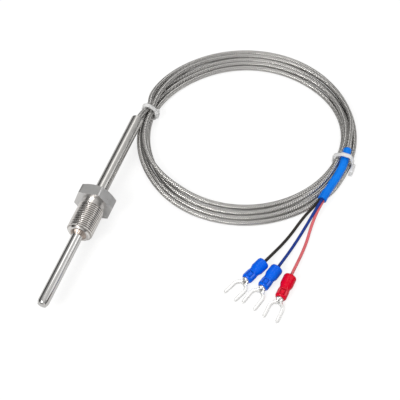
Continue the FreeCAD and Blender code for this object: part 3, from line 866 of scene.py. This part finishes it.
def along_probe(points):
    """From points turned about X to the probe's axis, with X read as the place along it."""
    points = np.asarray(points, float)
    return np.stack([points[:, 1], points[:, 0], AXIS_HEIGHT + points[:, 2]], axis=1)


def turned_piece(name, profile, sides, material, slot, *nodes, shape=None):
    points = along_probe(lathe_rings(profile, sides, shape))
    faces = [tuple(reversed(face)) for face in grid_faces(len(profile), sides)]
    piece = mesh_object(name, points, faces, material)
    merge_points(piece)
    sharp_edges(piece, 35)
    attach(piece, "root")
    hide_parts(*nodes)


PROBE_TIP = -55.25
THREAD_START = -17.1
THREAD_END = -2.25
HEX_FRONT = -0.75
HEX_BACK = 5.0
SEAT = 2.5
SHEATH_RADIUS = 2.5
SHEATH_BORE = 2.0
TUBE_BORE = 2.4


def sheath_profile():
    """Closed tube with a domed tip. The last points go back inside it."""
    dome = 2.35
    profile = [(PROBE_TIP, 0.001), (PROBE_TIP, 0.15)]
    for part in np.linspace(0, 1, 15)[1:]:
        turn = part * math.pi / 2
        profile.append((PROBE_TIP + dome * (1 - math.cos(turn)), 0.15 + dome * math.sin(turn)))
    profile += [(-36.0, SHEATH_RADIUS), (THREAD_START, SHEATH_RADIUS), (SEAT, SHEATH_RADIUS), (SEAT, SHEATH_BORE)]
    return profile + [(PROBE_TIP + 0.6, SHEATH_BORE), (PROBE_TIP + 0.5, 0.001)]


TUBE_PROFILE = [(SEAT, TUBE_BORE), (SEAT, TUBE_RADIUS), (HEX_BACK, TUBE_RADIUS), (30.0, TUBE_RADIUS),
                (TUBE_END - 0.2, TUBE_RADIUS), (TUBE_END, TUBE_RADIUS - 0.15), (TUBE_END, TUBE_BORE),
                (40.0, TUBE_BORE), (SEAT, TUBE_BORE)]
turned_piece("probe_sheath", sheath_profile(), 96, POLISHED, "stainless", "sensing_sheath")
turned_piece("probe_tube", TUBE_PROFILE, 96, SATIN, "stainless", "upper_tube")


def weld_shape(x, turns, reach):
    """Ripples of the weld bead around the sheath."""
    if reach[0] < 2.6:
        return reach
    at_end = 1 - eased(x, THREAD_START - 0.2, THREAD_START)
    return reach + 0.07 * np.sin(26 * turns + 1.3 * x) * eased(reach[0], 2.5, 3.2) * at_end


WELD = [(-1.5, 2.5), (-1.4, 2.58), (-1.1, 2.9), (-0.7, 3.25), (-0.3, 3.55), (0, 3.78), (0, 2.5)]
turned_piece("weld_bead", [(THREAD_START + x, radius) for x, radius in WELD], 104, WELD_STEEL, "stainless",
             "front_weld", shape=weld_shape)

THREAD_RADIUS = 6.0
THREAD_DEPTH = 0.6
PITCH = 1.0
LEAD_IN = 1.2
RELIEF_RADIUS = 5.3
HEX_FLATS = 17.0
HEX_ROLL = 9.5
FACE_RADIUS = 8.4
FRONT_BEVEL = 0.3
BACK_BEVEL = 0.75
# Bands of faces of the hexagon: front face, bevel, flats, bevel and back face.
HEX_BANDS = 5


def thread_radius(x, turns):
    """Radius of the right-hand M12 x 1 thread, with its lead-in and its run-out."""
    phase = (x / PITCH + turns / math.tau) % 1.0
    ramp = np.abs(phase - 0.5) * 2
    depth = np.clip((ramp - 0.17) / 0.66, 0, 1)
    depth = depth * depth * (3 - 2 * depth) * 0.35 + depth * 0.65
    radius = THREAD_RADIUS - THREAD_DEPTH * depth
    lead_in = THREAD_RADIUS - LEAD_IN + (x - THREAD_START)
    run_out = RELIEF_RADIUS + np.maximum(THREAD_END - x, 0) * 1.2
    return np.minimum(np.minimum(radius, lead_in), run_out)


def fitting_piece():
    """Hexagon and threaded shank, one turned and milled piece."""
    sides = 144
    turns = circle_angles(sides)

    def ring(x, radius):
        return np.full(sides, x), np.full(sides, radius)

    rows = [ring(THREAD_START, SHEATH_RADIUS), ring(THREAD_START, THREAD_RADIUS - LEAD_IN)]
    for x in np.linspace(THREAD_START, THREAD_END, 211):
        rows.append((np.full(sides, x), thread_radius(x, turns)))
    rows += [ring(THREAD_END + 0.05, RELIEF_RADIUS), ring(HEX_FRONT, RELIEF_RADIUS)]
    from_corner = np.abs((turns - math.radians(HEX_ROLL) + math.pi / 6) % (math.pi / 3) - math.pi / 6)
    reach = HEX_FLATS / 2 / np.cos(math.pi / 6 - from_corner)
    rise = (reach - FACE_RADIUS) / (HEX_FLATS / math.sqrt(3) - FACE_RADIUS)
    rows += [ring(HEX_FRONT, FACE_RADIUS), (HEX_FRONT + rise * FRONT_BEVEL, reach),
             (HEX_BACK - rise * BACK_BEVEL, reach), ring(HEX_BACK, FACE_RADIUS), ring(HEX_BACK, TUBE_RADIUS)]
    points = []
    for x, radius in rows:
        points.append(np.stack([radius * np.cos(turns), x, AXIS_HEIGHT + radius * np.sin(turns)], axis=1))
    faces = [tuple(reversed(face)) for face in grid_faces(len(rows), sides)]
    piece = mesh_object("threaded_body", np.concatenate(points), faces, THREAD_STEEL)
    piece.data.materials.append(HEX_STEEL)
    first_hex = (len(rows) - 1 - HEX_BANDS) * sides
    for number, polygon in enumerate(piece.data.polygons):
        if number >= first_hex:
            polygon.material_index = 1
    sharp_edges(piece, 24)
    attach(piece, "root")
    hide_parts("threaded_fitting")


fitting_piece()


# Nylon ties. A band with a ratchet head goes round the bundle, one at each side.

def rounded_loop(corners, rounding, count):
    """Points on a closed outline with rounded corners, evenly spaced."""
    corners = np.array(corners, float)
    line = []
    total = len(corners)
    for k in range(total):
        before, corner, after = corners[k - 1], corners[k], corners[(k + 1) % total]
        back = (before - corner) / np.linalg.norm(before - corner)
        ahead = (after - corner) / np.linalg.norm(after - corner)
        bend = math.pi - math.acos(np.clip(back.dot(ahead), -1, 1))
        setback = rounding * math.tan(bend / 2)
        start, end = corner + back * setback, corner + ahead * setback
        for part in np.linspace(0, 1, 7):
            line.append((1 - part) ** 2 * start + 2 * part * (1 - part) * corner + part ** 2 * end)
    line = np.array(line + line[:1])
    return points_at(line, np.linspace(0, run_along(line)[-1], count + 1)[:-1])


def tie_points(angle, local):
    """From (along the cable, radius, height) to the model's frame."""
    turn = math.radians(angle + COIL_TURN)
    outward = np.array([math.cos(turn), math.sin(turn), 0])
    forward = np.array([-math.sin(turn), math.cos(turn), 0])
    local = np.asarray(local, float)
    return COIL_CENTRE + local[:, :1] * forward + local[:, 1:2] * outward + local[:, 2:3] * np.array([0, 0, 1.0])


def rounded_box(size, centre, bevel):
    """Points and faces of a box with bevelled edges, about a centre."""
    made = bmesh.new()
    bmesh.ops.create_cube(made, size=1.0)
    bmesh.ops.scale(made, vec=Vector(size), verts=made.verts)
    bmesh.ops.bevel(made, geom=list(made.edges), offset=bevel, segments=3, profile=0.6, affect="EDGES")
    bmesh.ops.translate(made, vec=Vector(centre), verts=made.verts)
    points = [tuple(vertex.co) for vertex in made.verts]
    faces = [tuple(vertex.index for vertex in face.verts) for face in made.faces]
    made.free()
    return points, faces


# Across the band: place along the cable and height over the loop. The teeth stand on the track.
TRACK = 0.22
TOOTH = 0.10
TIE_STEPS = 120
TIE_ROUNDING = 1.2
TIE_SECTION = [(-1.0, 0.12), (-1.0, 0.72), (-0.75, 0.94), (0, 1.0), (0.75, 0.94), (1.0, 0.72), (1.0, 0.12),
               (0.5, 0.1), (0, TRACK), (-0.5, 0.1)]


def tie_piece(name, node, angle, corners, head_limits):
    """Band with toothed inner track and crowned outside, with its locking head and cut tail."""
    loop = rounded_loop(corners, TIE_ROUNDING, TIE_STEPS)
    direction = np.roll(loop, -1, axis=0) - np.roll(loop, 1, axis=0)
    direction /= np.linalg.norm(direction, axis=1)[:, None]
    outward = np.stack([direction[:, 1], -direction[:, 0]], axis=1)
    if ((loop + outward * 0.1 - loop.mean(axis=0)) ** 2).sum() < ((loop - loop.mean(axis=0)) ** 2).sum():
        outward = -outward
    points = []
    for number, (point, out) in enumerate(zip(loop, outward)):
        for along, height in TIE_SECTION:
            if height == TRACK and number % 2:
                height += TOOTH
            points.append((along, *(point + out * height)))
    sides = len(TIE_SECTION)
    faces = grid_faces(len(loop), sides)
    last = (len(loop) - 1) * sides
    for column in range(sides):
        after = (column + 1) % sides
        faces.append((last + column, last + after, after, column))
    limits = np.array(head_limits)
    middle, size = limits.mean(axis=1), limits[:, 1] - limits[:, 0]
    tongue = middle + np.array([0, 0, size[2] / 2])
    for extent, centre, bevel in ((size, middle, 0.36), (size * np.array([0.55, 0.4, 0.25]), tongue, 0.15)):
        box_points, box_faces = rounded_box(extent, centre, bevel)
        start = len(points)
        points.extend(box_points)
        faces.extend(tuple(start + k for k in face) for face in box_faces)
    piece = mesh_object(name, tie_points(angle, points), faces, NYLON)
    with edited(piece) as made:
        bmesh.ops.recalc_face_normals(made, faces=made.faces)
    sharp_edges(piece, 55)
    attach(piece, "root")
    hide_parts(node)


tie_piece("nylon_tie_left", "cable_tie_left", 184,
          [(46.9, 1.0), (52.5, 1.0), (52.5, 7.2), (51.9, 8.8), (49.6, 8.8), (46.9, 6.8)],
          [(-1.6, 1.6), (44.8, 46.6), (2.4, 6.2)])
tie_piece("nylon_tie_right", "cable_tie_right", 354,
          [(45.8, 1.0), (54.5, 1.0), (54.5, 5.2), (53.0, 8.0), (49.5, 8.0), (45.8, 5.5)],
          [(-5.0, 0.4), (54.7, 56.5), (0.3, 3.7)])


# Inner pieces keep their CAD shape and get plain finishes.

INNER = {"sensing_element": CERAMIC, "tip_paste": CERAMIC, "insulator": CERAMIC, "core_1": TINNED,
         "core_2": TINNED, "core_3": TINNED, "cable_seal": SEAL, "bare_end_black": TINNED, "bare_end_blue": TINNED,
         "bare_end_red": TINNED}
for node, material in INNER.items():
    for slot in bpy.data.objects[node].material_slots:
        slot.material = material


# Floor, light and background

floor_look = Nodes("table_white")
grain = floor_look.noise(floor_look.place(), 60.0, 2.0)
paths = floor_look.node("ShaderNodeLightPath").outputs
mirrored = floor_look.math("MAXIMUM", paths["Is Glossy Ray"], paths["Is Transmission Ray"])
seen = floor_look.math("MAXIMUM", paths["Is Camera Ray"], mirrored)
paper = floor_look.ramp(grain, (0.3, (0.70, 0.70, 0.70)), (0.7, (0.72, 0.72, 0.72)))
pale = floor_look.mixed(mirrored, (0.25, 0.25, 0.25, 1), (0.72, 0.72, 0.72, 1))
glow = floor_look.spread(mirrored, 0.80, 0.14)
floor_look.drive("Base Color", floor_look.mixed(seen, paper, pale))
floor_look.drive("Emission Strength", floor_look.math("MULTIPLY", seen, glow))
floor_look.set(Emission_Color=(1, 1, 1, 1), Roughness=0.9, Specular_IOR_Level=0.0)
floor_mesh = bpy.data.meshes.new("table")
floor_mesh.from_pydata([(-30, -30, 0), (30, -30, 0), (30, 30, 0), (-30, 30, 0)], [], [(0, 1, 2, 3)])
floor_mesh.materials.append(floor_look.material)
floor = bpy.data.objects.new("table", floor_mesh)
floor.location = (0.05, 0.05, 0.0)
bpy.context.scene.collection.objects.link(floor)


def area_light(name, location, target, size, power, colour=(1, 1, 1)):
    data = bpy.data.lights.new(name, "AREA")
    data.shape = "RECTANGLE"
    data.size, data.size_y = size
    data.energy = power
    data.color = colour
    made = bpy.data.objects.new(name, data)
    made.location = location
    aim = Vector(target) - Vector(location)
    made.rotation_euler = aim.to_track_quat("-Z", "Y").to_euler()
    made.visible_camera = False
    bpy.context.scene.collection.objects.link(made)


CENTRE = (0.045, 0.03, 0.0)
ON_SHEATH = (0.0017, -0.037, 0.011)
WARM = (1.0, 0.99, 0.97)
area_light("key", (-0.15, 0.49, 0.77), CENTRE, (0.28, 0.40), 0.50, WARM)
area_light("front", (-0.30, -0.75, 0.75), CENTRE, (0.45, 0.35), 6.2, WARM)
area_light("side", (0.69, 0.50, 0.42), CENTRE, (0.11, 0.40), 0.26)
area_light("card", (0.161, 0.050, 0.088), ON_SHEATH, (0.06, 0.115), 0.018)

# The room is brightest overhead, and dim at eye level and to both sides, most to the left.
world = bpy.data.worlds.new("studio")
world.use_nodes = True
bpy.context.scene.world = world
room = world.node_tree
room.nodes.clear()
where = room.nodes.new("ShaderNodeTexCoord")
parts = room.nodes.new("ShaderNodeSeparateXYZ")
tone = room.nodes.new("ShaderNodeValToRGB")
beside = room.nodes.new("ShaderNodeMath")
side = room.nodes.new("ShaderNodeValToRGB")
sky = room.nodes.new("ShaderNodeBackground")
out = room.nodes.new("ShaderNodeOutputWorld")
upward_stops = [(0.0, 0.13), (0.12, 0.19), (0.32, 0.52), (0.55, 0.80), (0.80, 0.92), (1.0, 1.0)]
side_stops = [(0.0, 0.20), (0.14, 0.26), (0.22, 0.58), (0.33, 0.74), (0.5, 0.94), (0.72, 0.90), (0.85, 0.60),
              (1.0, 0.5)]
for ramp, stops in ((tone, upward_stops), (side, side_stops)):
    set_stops(ramp.color_ramp, [(at, (bright, bright * 0.995, bright * 0.985)) for at, bright in stops])
beside.operation = "MULTIPLY_ADD"
beside.inputs[1].default_value = 0.5
beside.inputs[2].default_value = 0.5
room.links.new(where.outputs["Generated"], parts.inputs[0])
room.links.new(parts.outputs[2], tone.inputs[0])
room.links.new(parts.outputs[0], beside.inputs[0])
room.links.new(beside.outputs[0], side.inputs[0])
room.links.new(tone.outputs[0], sky.inputs[0])
room.links.new(side.outputs[0], sky.inputs[1])
room.links.new(sky.outputs[0], out.inputs[0])
bpy.context.scene.view_settings.view_transform = "Standard"
